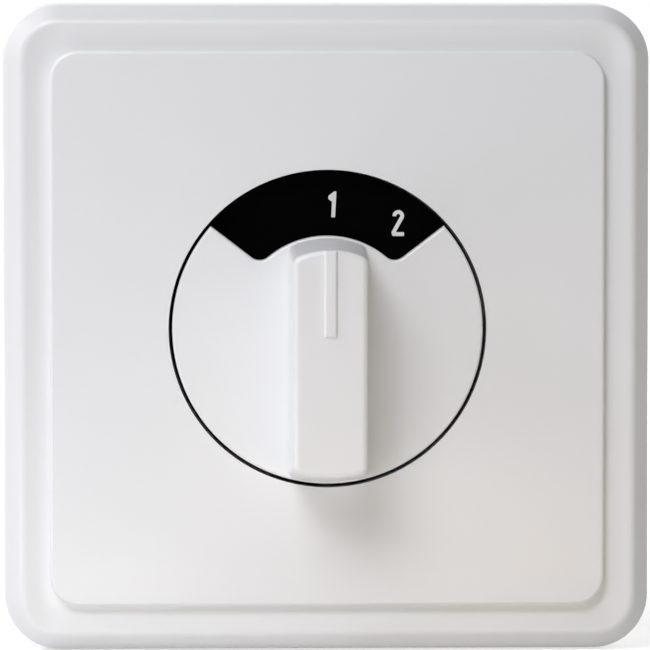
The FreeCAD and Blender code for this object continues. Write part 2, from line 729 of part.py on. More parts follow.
def make_support_ring():
    """Steel plate on the wall, with slots for the box screws."""
    body = new_body("support_ring")
    plate = new_sketch(body, "plate")
    rounded_square(plate, RING_WIDTH, "Sizes.ring_corner")
    pad(body, plate, "Sizes.ring_thickness", "plate")
    cuts = new_sketch(body, "cuts", "Sizes.ring_thickness")
    circle(cuts, RING_OPENING)
    reach = "Sizes.box_spacing / 2"
    for sign in ("", "-"):
        slot(cuts, f"{sign}{reach}", "0", "Sizes.slot_length", "Sizes.slot_width", upright=False)
        slot(cuts, "0", f"{sign}{reach}", "Sizes.slot_length", "Sizes.slot_width", upright=True)
        circle(
            cuts, "Sizes.peg_diameter + 2 * Sizes.peg_clearance", f"{sign}{PEG_OFFSET}", f"{sign}{PEG_OFFSET}"
        )
    screw_holes(cuts)
    pocket(body, cuts, "Sizes.ring_thickness", "cuts")


def screw_places():
    """The four corners where a housing screw goes, as signs of the offset."""
    return [("", ""), ("-", ""), ("-", "-"), ("", "-")]


def screw_holes(sketch):
    for across, up in screw_places():
        circle(sketch, SCREW_HOLE, f"{across}{SCREW_OFFSET}", f"{up}{SCREW_OFFSET}")


def make_housing_cover():
    """Front half of the insert: flange, boss through the ring and the neck that carries the spindle."""
    body = new_body("housing_cover")
    flange = new_sketch(body, "flange")
    rounded_square(flange, BASE_WIDTH, "Sizes.base_corner")
    pad(body, flange, "Sizes.flange_thickness", "flange", reverse=True)
    boss = new_sketch(body, "boss")
    circle(boss, BOSS_DIAMETER)
    pad(body, boss, BOSS_TOP, "boss")
    neck = new_sketch(body, "neck", BOSS_TOP)
    circle(neck, "Sizes.neck_diameter")
    pad(body, neck, f"{NECK_TOP} - {BOSS_TOP}", "neck")

    hollow = new_sketch(body, "hollow", FLANGE_BACK)
    circle(hollow, f"{BOSS_DIAMETER} - 2 * Sizes.boss_wall")
    circle(hollow, f"{SPINDLE_HOLE} + 2 * Sizes.bearing_wall")
    pocket(
        body, hollow, f"Sizes.flange_thickness + {BOSS_TOP} - Sizes.boss_wall", "hollow", reverse=True
    )
    bore = new_sketch(body, "bore", NECK_TOP)
    circle(bore, SPINDLE_HOLE)
    pocket(body, bore, f"{NECK_TOP} + Sizes.flange_thickness", "bore")
    holes = new_sketch(body, "holes")
    screw_holes(holes)
    pocket(body, holes, "Sizes.flange_thickness", "holes")


def make_housing_base():
    """Rear half of the insert: tub with screw posts, spring posts, stops and terminal chambers."""
    body = new_body("housing_base")
    tub = new_sketch(body, "tub", FLANGE_BACK)
    rounded_square(tub, BASE_WIDTH, "Sizes.base_corner")
    pad(body, tub, "Sizes.base_depth - Sizes.flange_thickness", "tub", reverse=True)
    cavity = new_sketch(body, "cavity", FLANGE_BACK)
    rounded_square(cavity, f"(2 * {CAVITY_HALF})", CAVITY_CORNER)
    depth = f"({FLANGE_BACK} - {FLOOR})"
    pocket(body, cavity, depth, "cavity")

    posts = new_sketch(body, "screw_posts", FLOOR)
    for across, up in screw_places():
        circle(posts, "Sizes.screw_post_diameter", f"{across}{SCREW_OFFSET}", f"{up}{SCREW_OFFSET}")
    pad(body, posts, depth, "screw_posts")

    seats = new_sketch(body, "spring_posts", FLOOR)
    face = f"({SPRING_X} + Sizes.detent_thickness + Sizes.spring_clearance)"
    hook = f"({SPRING_X} - Sizes.detent_thickness)"
    wall = f"({CAVITY_HALF} + Sizes.base_wall / 2)"
    stop = f"({SPRING_END} + Sizes.spring_clearance)"
    near = f"({stop} - Sizes.spring_post_width / 2)"
    far = f"({stop} + Sizes.spring_post_width / 2)"
    for across, up in screw_places():
        corners = [(wall, near), (face, near), (face, stop), (hook, stop), (hook, far), (wall, far)]
        polygon(seats, [(f"{across}{x}", f"{up}{y}") for x, y in corners])
    pad(body, seats, depth, "spring_posts")

    stops = new_sketch(body, "stops", FLOOR)
    reach = "(Sizes.wheel_diameter / 2 + Sizes.stop_reach)"
    turn = "(Sizes.index_angle * 1 deg)"
    near = f"({reach} * sin{turn} + Sizes.stop_width / 2 * cos{turn} + Sizes.stop_clearance)"
    low = f"({reach} * cos{turn} - Sizes.stop_width / 2)"
    for sign in ("", "-"):
        rectangle(stops, f"{sign}{near}", f"{sign}({near} + Sizes.stop_rib)", low, wall)
    pad(body, stops, f"{WHEEL_BOTTOM} - {FLOOR}", "stops")

    walls = new_sketch(body, "partitions", FLOOR)
    for sign in (1, -1):
        middle = f"({sign} * {TERMINAL_PITCH} / 2)"
        rectangle(
            walls,
            f"{middle} - Sizes.partition_thickness / 2",
            f"{middle} + Sizes.partition_thickness / 2",
            f"-{wall}",
            BLOCK_INNER,
        )
    pad(body, walls, "Sizes.block_height", "partitions")

    pivot = new_sketch(body, "pivot", FLOOR)
    circle(pivot, "Sizes.pivot_boss_diameter")
    pad(body, pivot, f"{PIVOT_BOSS_TOP} - {FLOOR}", "pivot")
    bore = new_sketch(body, "bore", PIVOT_BOSS_TOP)
    circle(bore, "Sizes.pivot_diameter + 2 * Sizes.running_clearance")
    pocket(body, bore, f"{PIVOT_BOSS_TOP} - {PIVOT_BOTTOM} + Sizes.end_play", "bore")

    screws = new_sketch(body, "screw_holes", FLANGE_BACK)
    screw_holes(screws)
    pocket(body, screws, "Sizes.screw_length", "screw_holes")
    entries = new_sketch(body, "wire_entries", FLOOR)
    for place in terminal_places().values():
        circle(entries, "Sizes.wire_entry_diameter", place, WIRE_Y)
    pocket(body, entries, "Sizes.floor_thickness", "wire_entries")
    clamps = new_sketch(body, "clamp_holes", f"{CAVITY_HALF} - Sizes.base_wall / 2", "XZ_Plane")
    for place in terminal_places().values():
        circle(clamps, "Sizes.clamp_hole_diameter", place, CLAMP_Z)
    pocket(body, clamps, "2 * Sizes.base_wall", "clamp_holes", reverse=True)
    marks = new_sketch(body, "mark_recesses", "-Sizes.base_depth")
    for place in terminal_places().values():
        rectangle(
            marks,
            f"{place} - Sizes.mark_width / 2",
            f"{place} + Sizes.mark_width / 2",
            MARK_LOW,
            f"{MARK_LOW} + Sizes.mark_height",
        )
    pocket(body, marks, "Sizes.mark_depth", "mark_recesses", reverse=True)

    at_back = lies_at("-Sizes.base_depth")
    side = value(BASE_WIDTH) / 2
    fillet(body, lambda e: at_back(e) and farthest(e) > side - NEAR, "Sizes.base_edge_radius", "back_edge")
    fillet(body, lambda e: at_back(e) and e.Closed, "Sizes.wire_entry_round", "wire_funnels")


def make_spindle():
    """Steel shaft: pivot, round bearing length and a flat at the knob and in the rotor."""
    body = new_body("spindle")
    shaft = new_sketch(body, "shaft", ROTOR_BOTTOM)
    circle(shaft, "Sizes.spindle_diameter")
    pad(body, shaft, f"{SPINDLE_TOP} - {ROTOR_BOTTOM}", "shaft")
    pivot = new_sketch(body, "pivot", PIVOT_BOTTOM)
    circle(pivot, "Sizes.pivot_diameter")
    pad(body, pivot, f"{ROTOR_BOTTOM} - {PIVOT_BOTTOM}", "pivot")
    flats = new_sketch(body, "flats", plane="YZ_Plane")
    outside = "Sizes.spindle_diameter"
    rectangle(flats, FLAT_HEIGHT, outside, KNOB_UNDERSIDE, f"{SPINDLE_TOP} + Sizes.hub_gap")
    rectangle(flats, FLAT_HEIGHT, outside, f"{ROTOR_BOTTOM} - Sizes.hub_gap", ROTOR_TOP)
    pocket(body, flats, "2 * Sizes.spindle_diameter", "flats", symmetric=True)


def make_detent_rotor():
    """Moulded drum with the notched wheel, a stop arm and a collar, driven by the flat of the spindle."""
    body = new_body("detent_rotor")
    drum = new_sketch(body, "drum", ROTOR_BOTTOM)
    circle(drum, "Sizes.drum_diameter")
    pad(body, drum, f"{WHEEL_TOP} - {ROTOR_BOTTOM}", "drum")
    wheel = new_sketch(body, "wheel", WHEEL_BOTTOM)
    circle(wheel, "Sizes.wheel_diameter")
    pad(body, wheel, "Sizes.wheel_height", "wheel")
    collar = new_sketch(body, "collar", WHEEL_TOP)
    circle(collar, "Sizes.collar_diameter")
    pad(body, collar, f"{ROTOR_TOP} - {WHEEL_TOP}", "collar")
    arm = new_sketch(body, "stop_arm", STOP_BOTTOM)
    rectangle(
        arm,
        "-Sizes.stop_width / 2",
        "Sizes.stop_width / 2",
        "Sizes.spindle_diameter",
        "Sizes.wheel_diameter / 2 + Sizes.stop_reach",
    )
    pad(body, arm, "Sizes.stop_height", "stop_arm")

    socket = new_sketch(body, "socket", ROTOR_TOP)
    socket_outline(socket, f"({FLAT_HEIGHT} + Sizes.running_clearance)")
    pocket(body, socket, f"{ROTOR_TOP} - {ROTOR_BOTTOM}", "socket")

    notch = new_sketch(body, "notch", WHEEL_TOP)
    circle(notch, "2 * Sizes.notch_radius", "Sizes.wheel_diameter / 2 + Sizes.notch_offset")
    first = pocket(body, notch, "Sizes.wheel_height", "notch")
    notches = body.newObject("PartDesign::PolarPattern", "detent_rotor_notches")
    notches.Originals = [first]
    notches.Axis = (notch, ["N_Axis"])
    notches.Angle = 360
    notches.setExpression("Occurrences", "Sizes.notch_count")
    body.Tip = notches
    doc.recompute()


def make_detent_spring(name, sign):
    """Leaf whose nose rests in a notch of the wheel, its two ends held by the posts of the base."""
    body = new_body(name)
    tip = "(Sizes.wheel_diameter / 2 + Sizes.notch_offset - Sizes.notch_radius + Sizes.detent_nose_gap)"
    middle = f"({WHEEL_TOP} - Sizes.wheel_height / 2 - Sizes.detent_height / 2)"
    profile = new_sketch(body, "profile", middle)
    root = f"({tip} + Sizes.detent_nose)"
    line = [
        (SPRING_X, SPRING_END),
        (root, "Sizes.detent_nose"),
        (tip, "0"),
        (root, "-Sizes.detent_nose"),
        (SPRING_X, f"-{SPRING_END}"),
    ]
    back = [(f"({x} + Sizes.detent_thickness)", y) for x, y in reversed(line)]
    polygon(profile, [(f"{sign}{x}", y) for x, y in line + back])
    pad(body, profile, "Sizes.detent_height", "leaf")
    nose = value(tip)

    def nose_edge(edge):
        box = edge.BoundBox
        return upright(edge) and abs(abs(box.XMin) - nose) < NEAR and abs(box.YMin) < NEAR

    fillet(body, nose_edge, "Sizes.detent_nose_radius", "nose")


def make_contact_wiper():
    """Bronze ring under the rotor with two arms that slide on the strips."""
    body = new_body("contact_wiper")
    ring = new_sketch(body, "ring", WIPER_BOTTOM)
    inner = "(Sizes.pivot_boss_diameter + 2 * Sizes.wiper_clearance)"
    circle(ring, inner)
    circle(ring, f"{inner} + 2 * Sizes.wiper_ring")
    pad(body, ring, "Sizes.wiper_thickness", "ring")
    root = f"({inner} / 2 + Sizes.wiper_ring / 2)"
    for name, sign, radius in (("speed", "-", "Sizes.contact_radius"), ("common", "", "Sizes.common_radius")):
        arm = new_sketch(body, f"{name}_arm", plane="YZ_Plane")
        heel = f"({radius} - Sizes.wiper_tip)"
        toe = f"({radius} + Sizes.wiper_tip)"
        corners = [
            (root, ROTOR_BOTTOM),
            (root, WIPER_BOTTOM),
            (heel, TIP_BOTTOM),
            (toe, TIP_BOTTOM),
            (toe, f"{TIP_BOTTOM} + Sizes.wiper_thickness"),
            (f"({heel} + Sizes.wiper_thickness / 2)", f"{TIP_BOTTOM} + Sizes.wiper_thickness"),
            (f"({root} + Sizes.wiper_thickness / 2)", ROTOR_BOTTOM),
        ]
        polygon(arm, [(f"{sign}{y}", z) for y, z in corners])
        pad(body, arm, "Sizes.wiper_width", f"{name}_arm", symmetric=True)


def terminal_places():
    """Each terminal's place along the lower side of the insert."""
    return {"two": f"-{TERMINAL_PITCH}", "one": "0", "common": TERMINAL_PITCH}


def make_contact_strip(name, outline, place):
    """Brass strip on the floor of the base, with a tab that stands against its terminal block."""
    body = new_body(f"contact_strip_{name}")
    strip = new_sketch(body, "strip", FLOOR)
    polygon(strip, outline)
    pad(body, strip, "Sizes.strip_thickness", "strip")
    tab = new_sketch(body, "tab", FLOOR)
    rectangle(
        tab,
        f"{place} - Sizes.strip_width / 2",
        f"{place} + Sizes.strip_width / 2",
        STRIP_END,
        f"{STRIP_END} + Sizes.strip_thickness",
    )
    pad(body, tab, "Sizes.tab_height", "tab")


def make_contact_strips():
    half = "(Sizes.strip_width / 2)"
    turn = "(Sizes.index_angle * 1 deg)"
    places = terminal_places()
    inner = f"-(Sizes.contact_radius - {half})"
    make_contact_strip(
        "one", [(f"-{half}", STRIP_END), (half, STRIP_END), (half, inner), (f"-{half}", inner)], places["one"]
    )

    left = f"(-{TERMINAL_PITCH} - {half})"
    right = f"(-{TERMINAL_PITCH} + {half})"
    pad_right = f"(-Sizes.contact_radius * sin{turn} + {half})"
    pad_top = f"(-Sizes.contact_radius * cos{turn} + {half})"
    pad_low = f"(-Sizes.contact_radius * cos{turn} - {half})"
    make_contact_strip(
        "two",
        [
            (left, STRIP_END),
            (right, STRIP_END),
            (right, pad_low),
            (pad_right, pad_low),
            (pad_right, pad_top),
            (left, pad_top),
        ],
        places["two"],
    )

    left = f"({TERMINAL_PITCH} - {half})"
    right = f"({TERMINAL_PITCH} + {half})"
    bar_left = f"(-Sizes.common_radius * sin{turn} - {half})"
    bar_top = f"(Sizes.common_radius + {half})"
    bar_low = f"(Sizes.common_radius - {half})"
    make_contact_strip(
        "common",
        [
            (left, STRIP_END),
            (right, STRIP_END),
            (right, bar_top),
            (bar_left, bar_top),
            (bar_left, bar_low),
            (left, bar_low),
        ],
        places["common"],
    )


def make_terminal_block(name, place):
    """Brass block with a wire hole from the rear and a clamp screw from below."""
    body = new_body(f"terminal_block_{name}", x=place, y=WIRE_Y, z=FLOOR)
    block = new_sketch(body, "block")
    half = "Sizes.block_width / 2"
    rectangle(block, f"-{half}", half, "Sizes.wire_inset - Sizes.block_depth", "Sizes.wire_inset")
    pad(body, block, "Sizes.block_height", "block")
    wire = new_sketch(body, "wire")
    circle(wire, "Sizes.wire_diameter")
    pocket(body, wire, "Sizes.wire_depth", "wire", reverse=True)
    clamp = new_sketch(body, "clamp", plane="XZ_Plane")
    circle(clamp, "Sizes.clamp_diameter + 2 * Sizes.thread_clearance", "0", "Sizes.wire_depth / 2")
    pocket(body, clamp, "Sizes.block_depth", "clamp", reverse=True)


def make_screw(body, shank, length, head, height):
    """Slotted screw along z, the underside of its head at z = 0."""
    top = new_sketch(body, "head")
    circle(top, head)
    pad(body, top, height, "head")
    stem = new_sketch(body, "shank")
    circle(stem, shank)
    pad(body, stem, length, "shank", reverse=True)
    groove = new_sketch(body, "slot", height)
    rectangle(
        groove, f"-{head}", head, "-Sizes.screw_slot_width / 2", "Sizes.screw_slot_width / 2"
    )
    pocket(body, groove, "Sizes.screw_slot_depth", "slot")


def make_screws():
    for number, (across, up) in enumerate(screw_places(), start=1):
        body = new_body(
            f"housing_screw_{number}",
            x=f"{across}{SCREW_OFFSET}",
            y=f"{up}{SCREW_OFFSET}",
            z="Sizes.ring_thickness",
        )
        make_screw(
            body,
            "Sizes.screw_diameter",
            "Sizes.screw_length",
            "Sizes.screw_head_diameter",
            "Sizes.screw_head_height",
        )
    outside = f"(-{CAVITY_HALF} - Sizes.base_wall)"
    tip = f"({WIRE_Y} - Sizes.wire_diameter / 2 - Sizes.block_clearance)"
    for name, place in terminal_places().items():
        body = new_body(f"terminal_screw_{name}", x=place, y=outside, z=CLAMP_Z, rotation=HEAD_DOWN)
        make_screw(
            body,
            "Sizes.clamp_diameter",
            f"{tip} - {outside}",
            "Sizes.clamp_head_diameter",
            "Sizes.clamp_head_height",
        )


make_cover_frame()
make_center_plate()
make_knob()
make_knob_spring()
make_scale_disc()
make_fixing_nut()
make_ring("lock_washer", CUP_TOP, "Sizes.washer_thickness", "Sizes.washer_diameter", NECK_HOLE)
make_support_ring()
make_housing_cover()
make_housing_base()
make_spindle()
make_detent_rotor()
make_ring("thrust_washer", ROTOR_TOP, "Sizes.thrust_washer_thickness", "Sizes.collar_diameter", SPINDLE_HOLE)
make_detent_spring("detent_spring_right", "")
make_detent_spring("detent_spring_left", "-")
make_contact_wiper()
make_contact_strips()
for name, place in terminal_places().items():
    make_terminal_block(name, place)
make_screws()

doc.recompute()
failed = [o.Name for o in doc.Objects if "Invalid" in o.State or "Error" in o.State]
failed += [b.Name for b in bodies if b.Shape.isNull() or not b.Shape.isValid() or not b.Shape.Solids]
if failed:
    raise RuntimeError(f"not built: {failed}")
os.makedirs("parts", exist_ok=True)
for body in bodies:
    body.Shape.exportStep(f"parts/{body.Label}.step")
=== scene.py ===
import json
import math

import bmesh
import bpy
from bpy.props import FloatProperty, FloatVectorProperty, IntProperty, PointerProperty
from mathutils import Matrix, Vector


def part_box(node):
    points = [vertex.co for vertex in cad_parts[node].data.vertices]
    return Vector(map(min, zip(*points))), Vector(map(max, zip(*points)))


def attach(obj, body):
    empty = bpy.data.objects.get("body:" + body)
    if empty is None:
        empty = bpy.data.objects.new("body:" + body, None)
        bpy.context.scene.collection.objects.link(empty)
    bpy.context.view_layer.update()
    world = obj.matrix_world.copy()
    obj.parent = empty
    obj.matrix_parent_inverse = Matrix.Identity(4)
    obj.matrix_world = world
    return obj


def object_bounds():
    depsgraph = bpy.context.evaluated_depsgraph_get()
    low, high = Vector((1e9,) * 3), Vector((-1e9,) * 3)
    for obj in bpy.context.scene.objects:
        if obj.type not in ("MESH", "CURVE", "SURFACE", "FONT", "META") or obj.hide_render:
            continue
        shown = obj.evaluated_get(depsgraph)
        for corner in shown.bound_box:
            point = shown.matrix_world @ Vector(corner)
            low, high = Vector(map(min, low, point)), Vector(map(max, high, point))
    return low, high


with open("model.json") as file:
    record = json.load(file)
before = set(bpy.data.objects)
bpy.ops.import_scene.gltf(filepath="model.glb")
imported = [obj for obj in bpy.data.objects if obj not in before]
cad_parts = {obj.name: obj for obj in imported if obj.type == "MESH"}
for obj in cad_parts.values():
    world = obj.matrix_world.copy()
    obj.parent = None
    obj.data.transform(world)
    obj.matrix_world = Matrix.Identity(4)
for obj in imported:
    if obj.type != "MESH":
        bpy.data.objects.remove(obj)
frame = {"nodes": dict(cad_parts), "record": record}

bl_info = {
    "name": "Fan Speed Switch",
    "version": (1, 0, 0),
    "blender": (4, 5, 0),
    "location": "View3D > Sidebar > Fan Switch",
    "description": "Gives the rotary fan switch its finishes, printed numerals and studio",
    "category": "Object",
}

CAD_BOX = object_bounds()
SLOT_COLOUR = {entry["slot"]: tuple(entry["base_color"]) for entry in frame["record"]["materials"]}

# Stand a mesh drawn in x and y upright, so that it faces the room or the rear
FACING_ROOM = Matrix.Rotation(math.radians(90), 4, "X")
FACING_REAR = Matrix.Rotation(math.radians(180), 4, "Z") @ FACING_ROOM

# Sockets of a Mix node set to colour, by number because the node uses each name more than once
MIX_SHARE, MIX_DARK, MIX_LIGHT, MIX_COLOUR = 0, 6, 7, 2

# Soft lamps turned to the origin: name, place, width and height, watts, colour
LAMPS = (
    ("front", (-0.12, -0.5, 0.3), (0.15, 0.15), 0.36, (0.93, 0.92, 1.0)),
    ("front_left", (-0.25, -0.42, 0.4), (0.2, 0.2), 1.0, (0.955, 0.95, 1.0)),
    ("front_high", (-0.12, -0.45, 0.45), (0.2, 0.2), 0.6, (0.95, 0.955, 0.99)),
    ("above", (-0.1, -0.06, 0.25), (0.2, 0.08), 0.13, (0.926, 0.93, 1.0)),
    ("left", (-0.2, -0.05, 0.12), (0.12, 0.08), 0.096, (1.0, 0.96, 0.9)),
    ("right", (0.25, -0.04, 0.02), (0.1, 0.1), 0.04, (1.0, 0.94, 0.8)),
    ("low_left", (-0.09, -0.06, -0.03), (0.03, 0.015), 0.0076, (0.85, 0.8, 1.0)),
    ("low_middle", (-0.03, -0.05, -0.036), (0.03, 0.006), 0.0021, (1.0, 0.97, 0.82)),
    ("low_right", (0.03, -0.08, -0.034), (0.03, 0.01), 0.0046, (1.0, 0.72, 0.38)),
    ("rear_left", (-0.4, 0.5, 0.35), (0.3, 0.3), 1.6, (0.97, 0.98, 1.0)),
    ("rear_right", (0.35, 0.55, 0.2), (0.3, 0.3), 0.7, (1.0, 0.97, 0.93)),
)


def colour_property(label, description, default):
    return FloatVectorProperty(
        name=label, description=description, subtype="COLOR", size=3, min=0.0, max=1.0, default=default
    )


def length_property(label, description, default):
    return FloatProperty(
        name=label, description=description, subtype="DISTANCE", unit="LENGTH", default=default, precision=5
    )


def factor_property(label, description, default):
    return FloatProperty(
        name=label, description=description, subtype="FACTOR", min=0.0, max=1.0, default=default
    )


def angle_property(label, description, degrees):
    return FloatProperty(
        name=label, description=description, subtype="ANGLE", unit="ROTATION", default=math.radians(degrees)
    )


class FanSwitchFinishes(bpy.types.PropertyGroup):
    """Colours and gloss of the finishes."""

    cover_white: colour_property(
        "Cover white", "Plastic of the frame, plate and knob", SLOT_COLOUR["white_plastic"]
    )
    cover_roughness: factor_property("Cover roughness", "Gloss of the white plastic", 0.3)
    scale_black: colour_property("Scale black", "Disc under the window", (0.0012, 0.0012, 0.0013))
    numeral_white: colour_property("Numeral white", "Ink of the numerals", (0.82, 0.82, 0.8))
    insert_grey: colour_property("Insert grey", "Plastic of the insert", SLOT_COLOUR["insert_plastic"])
    rotor_black: colour_property("Rotor black", "Plastic of the detent rotor", SLOT_COLOUR["rotor_plastic"])
    zinc: colour_property("Zinc", "Plated steel of the support ring and nut", SLOT_COLOUR["zinc_steel"])
    steel: colour_property("Steel", "Turned steel of spindle and screws", SLOT_COLOUR["turned_steel"])
    spring: colour_property(
        "Spring", "Rolled strip of the springs and washers", SLOT_COLOUR["spring_steel"]
    )
    brass: colour_property("Brass", "Terminal blocks and contact strips", SLOT_COLOUR["brass"])
    bronze: colour_property("Bronze", "Contact wiper", SLOT_COLOUR["bronze"])


class FanSwitchNumerals(bpy.types.PropertyGroup):
    """Size and place of the printed numerals and of the raised marks at the terminals."""

    height: length_property("Height", "Height of a numeral", 0.0032)
    stroke: length_property("Stroke", "Width of a numeral's lines", 0.00048)
    ink: length_property("Ink", "Thickness of the ink on the disc", 0.00004)
    one_across: length_property("One, across", "Foot of the 1, right of the axis", 0.00077)
    one_up: length_property("One, up", "Foot of the 1, above the axis", 0.01362)
    two_across: length_property("Two, across", "Middle of the 2, right of the axis", 0.0088)
    two_up: length_property("Two, up", "Foot of the 2, above the axis", 0.0113)
    mark_height: length_property("Mark height", "Height of a mark at a terminal", 0.0032)
    mark_stroke: length_property("Mark stroke", "Width of the lines of a mark", 0.0005)
    mark_rise: length_property("Mark rise", "How far a mark stands out of its recess", 0.00025)
    mark_recess: length_property("Mark recess", "Depth of the recess that a mark stands in", 0.0004)
    mark_above: length_property("Mark above", "Foot of a mark above the middle of the wire entry", 0.0049)


class FanSwitchInsert(bpy.types.PropertyGroup):
    """Small moulded and stamped detail on the insert."""

    rib_count: IntProperty(name="Ribs", description="Ribs on each side of the insert", min=1, default=5)
    rib_width: length_property("Rib width", "Width of a rib on the insert's sides", 0.0008)
    rib_rise: length_property("Rib rise", "How far a rib stands out", 0.00035)
    rib_pitch: length_property("Rib pitch", "From one rib to the next", 0.004)
    rib_margin: length_property("Rib margin", "Bare stretch at each end of a rib", 0.0035)
    gauge_length: length_property("Gauge length", "Bare wire that the strip gauge shows", 0.008)
    gauge_line: length_property("Gauge line", "Width of the strip gauge's lines", 0.0005)
    arrow_height: length_property("Arrow height", "Height of the arrow stamped in the ring", 0.006)
    arrow_stroke: length_property("Arrow stroke", "Width of the arrow's shaft", 0.0012)
    arrow_rise: length_property("Arrow rise", "How far the arrow stands out of the ring", 0.00025)
    arrow_across: length_property("Arrow, across", "Arrow from the axis", 0.012)
    arrow_up: length_property("Arrow, up", "Foot of the arrow above the axis", 0.0262)


class FanSwitchStudio(bpy.types.PropertyGroup):
    """Camera and light."""

    distance: length_property("Camera distance", "From the middle of the cover to the camera", 0.75)
    view_width: length_property("View width", "Width of the picture at the cover", 0.0809)
    camera_left: angle_property("Camera left", "How far the camera stands left of the axis", 1.95)
    camera_up: angle_property("Camera up", "How far the camera stands above the axis", 2.75)
    room_light: factor_property("Room light", "Even light from all round", 0.01)
    floor_glow: factor_property("Floor glow", "White of the floor near the switch, beside its light", 0.62)
    floor_near: length_property("Floor, near", "Distance at which the floor starts to turn white", 0.15)
    floor_far: length_property("Floor, far", "Distance from which the floor is all white", 0.6)
    floor_half: length_property("Floor, half", "From the middle of the floor to its edge", 3.0)


class Finish:
    """A material under construction: procedural patterns on object coordinates, wired to one shader."""

    def __init__(self, name, colour, roughness, metallic=0.0, specular=0.5):
        self.material = bpy.data.materials.new(name)
        self.material.use_nodes = True
        self.material.diffuse_color = (*colour, 1.0)
        self.nodes = self.material.node_tree.nodes
        self.links = self.material.node_tree.links
        self.shader = self.nodes["Principled BSDF"]
        self.shader.inputs["Base Color"].default_value = (*colour, 1.0)
        self.shader.inputs["Roughness"].default_value = roughness
        self.shader.inputs["Metallic"].default_value = metallic
        self.shader.inputs["Specular IOR Level"].default_value = specular
        self.colour = colour
        self.roughness = roughness
        self.place = self.nodes.new("ShaderNodeTexCoord").outputs["Object"]

    def stretched(self, along):
        """Object coordinates squeezed by a factor on each axis, for grain that runs one way."""
        mapping = self.nodes.new("ShaderNodeMapping")
        mapping.inputs["Scale"].default_value = along
        self.links.new(self.place, mapping.inputs["Vector"])
        return mapping.outputs["Vector"]

    def noise(self, size, detail=2.0, place=None):
        """Soft noise whose features are about size metres across."""
        texture = self.nodes.new("ShaderNodeTexNoise")
        texture.inputs["Scale"].default_value = 1.0 / size
        texture.inputs["Detail"].default_value = detail
        self.links.new(place or self.place, texture.inputs["Vector"])
        return texture.outputs["Fac"]

    def cells(self, size):
        """Random value for each crystal about size metres across."""
        texture = self.nodes.new("ShaderNodeTexVoronoi")
        texture.inputs["Scale"].default_value = 1.0 / size
        self.links.new(self.place, texture.inputs["Vector"])
        split = self.nodes.new("ShaderNodeSeparateColor")
        self.links.new(texture.outputs["Color"], split.inputs["Color"])
        return split.outputs["Red"]

    def spread(self, pattern, low, high, start=0.3, stop=0.7):
        """Stretch a pattern from start to stop over the values low to high."""
        node = self.nodes.new("ShaderNodeMapRange")
        for socket, number in (("From Min", start), ("From Max", stop), ("To Min", low), ("To Max", high)):
            node.inputs[socket].default_value = number
        self.links.new(pattern, node.inputs["Value"])
        return node.outputs["Result"]

    def tint(self, pattern, dark, light):
        """Vary the colour with a pattern, from dark to light times the finish's own colour."""
        mix = self.nodes.new("ShaderNodeMix")
        mix.data_type = "RGBA"
        shades = [(*(min(1.0, c * f) for c, f in zip(self.colour, shade)), 1.0) for shade in (dark, light)]
        mix.inputs[MIX_DARK].default_value, mix.inputs[MIX_LIGHT].default_value = shades
        self.links.new(self.spread(pattern, 0.0, 1.0), mix.inputs[MIX_SHARE])
        self.links.new(mix.outputs[MIX_COLOUR], self.shader.inputs["Base Color"])

    def gloss(self, pattern, change):
        """Vary the roughness with a pattern, by change either way."""
        spread = self.spread(pattern, self.roughness - change, self.roughness + change)
        self.links.new(spread, self.shader.inputs["Roughness"])

    def relief(self, pattern, depth, edge=None):
        """Bump from a pattern, depth metres deep, over edges softened by a radius."""
        bump = self.nodes.new("ShaderNodeBump")
        bump.inputs["Distance"].default_value = depth
        bump.inputs["Strength"].default_value = 1.0
        self.links.new(pattern, bump.inputs["Height"])
        if edge:
            soft = self.nodes.new("ShaderNodeBevel")
            soft.samples = 6
            soft.inputs["Radius"].default_value = edge
            self.links.new(soft.outputs["Normal"], bump.inputs["Normal"])
        self.links.new(bump.outputs["Normal"], self.shader.inputs["Normal"])

    def wear(self, *names):
        """Put the finish on CAD nodes."""
        for name in names:
            slots = frame["nodes"][name].data.materials
            slots.clear()
            slots.append(self.material)


def nodes_named(*starts):
    """CAD nodes whose name begins with one of the words."""
    return [name for name in sorted(frame["nodes"]) if name.startswith(starts)]


def frame_mount(name):
    """Place of one of the record's mounts."""
    return next(Vector(mount["pos_m"]) for mount in frame["record"]["mounts"] if mount["name"] == name)


def add_piece(name, mesh, body, material):
    """Make a mesh a piece of the object that moves with a CAD body."""
    piece = bpy.data.objects.new(name, mesh)
    bpy.context.scene.collection.objects.link(piece)
    mesh.materials.clear()
    mesh.materials.append(material)
    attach(piece, body)


class FANSWITCH_OT_cover_finish(bpy.types.Operator):
    """Give the frame, plate and knob their white plastic"""

    bl_idname = "fan_switch.cover_finish"
    bl_label = "Cover Finish"

    def execute(self, context):
        look = context.scene.fan_switch_finishes
        white = Finish("white_plastic", look.cover_white, look.cover_roughness)
        flow = white.noise(size=0.018, detail=3.0)
        grain = white.noise(size=0.0011)
        white.tint(flow, dark=(0.994, 0.995, 0.997), light=(1.0, 1.0, 0.998))
        white.gloss(white.noise(size=0.004, detail=4.0), change=0.02)
        white.relief(grain, depth=0.0000015)
        white.wear("cover_frame", "center_plate", "knob")
        return {"FINISHED"}


class FANSWITCH_OT_scale_finish(bpy.types.Operator):
    """Give the disc under the window its matt black"""

    bl_idname = "fan_switch.scale_finish"
    bl_label = "Scale Finish"

    def execute(self, context):
        look = context.scene.fan_switch_finishes
        black = Finish("scale_black", look.scale_black, roughness=0.7, specular=0.01)
        black.tint(black.noise(size=0.003, detail=4.0), dark=(0.7, 0.7, 0.75), light=(1.2, 1.2, 1.2))
        black.gloss(black.noise(size=0.0015), change=0.06)
        black.relief(black.noise(size=0.0003), depth=0.000004)
        black.wear("scale_disc")
        return {"FINISHED"}


